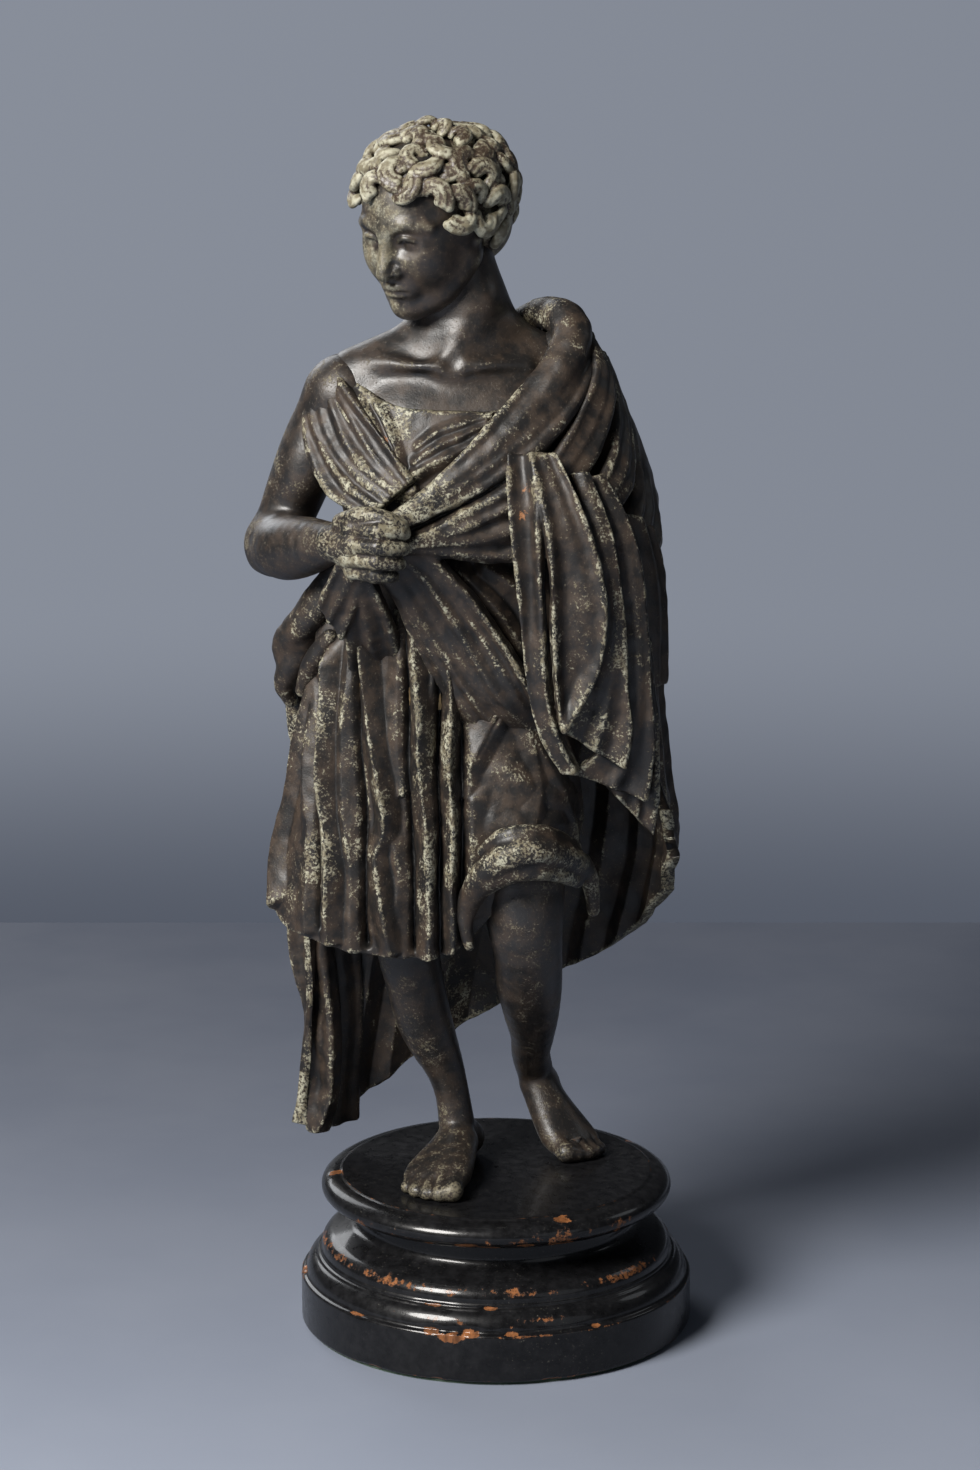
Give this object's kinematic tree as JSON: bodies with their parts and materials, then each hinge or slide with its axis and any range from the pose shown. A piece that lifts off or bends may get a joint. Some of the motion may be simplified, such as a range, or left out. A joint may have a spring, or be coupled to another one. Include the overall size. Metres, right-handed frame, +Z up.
{
  "type": "bronze statuette",
  "caption": "Standing draped youth in dark patinated bronze on a round turned and ebonised wooden socle, a mantle over one shoulder and forearm.",
  "frame": {"origin": "centre of the socle's resting face, on the axis of its turned profile", "axes": "+Z up through the figure, the figure's chest faces -Y, its right arm is towards -X"},
  "size_m": [0.1246, 0.112, 0.3431],
  "materials": {
    "cloth_bronze": "brown-black patina, dull in the folds, rubbed grey-green and ochre on the crests",
    "skin_bronze": "smooth blue-black patina with a waxed shine",
    "hair_bronze": "brown in the recesses, worn silvery green on the curls",
    "raw_bronze": "unpatinated, as cast or turned",
    "iron": "dull, lightly rusted",
    "ebonised_wood": "glossy black stain and wax, rubbed to orange-brown wood on the arrises",
    "felt": "dense matt wool felt"
  },
  "bodies": {
    "root": {"felt_pad": "felt", "socle_foot": "ebonised_wood", "socle_top": "ebonised_wood", "foot_studs": "iron", "stud_washers": "iron", "stud_nuts": "iron", "right_leg": "skin_bronze", "left_leg": "skin_bronze", "hip_bridge": "raw_bronze", "leg_nuts": "raw_bronze", "skirt": "cloth_bronze", "knee_roll": "cloth_bronze", "waist_sleeve": "raw_bronze", "waist_rivets": "raw_bronze", "torso": "cloth_bronze", "neck_sleeve": "raw_bronze", "neck_pin": "raw_bronze", "head": "hair_bronze", "right_arm": "skin_bronze", "arm_dowel": "raw_bronze", "right_hand": "skin_bronze", "wrist_dowel": "raw_bronze", "left_arm": "skin_bronze", "left_arm_dowel": "raw_bronze", "mantle_band": "cloth_bronze", "mantle_shoulder": "cloth_bronze", "mantle_fall": "cloth_bronze", "mantle_bunch": "cloth_bronze", "mantle_back": "cloth_bronze", "mantle_tail": "cloth_bronze", "mantle_rivets": "raw_bronze"}
  },
  "joints": []
}
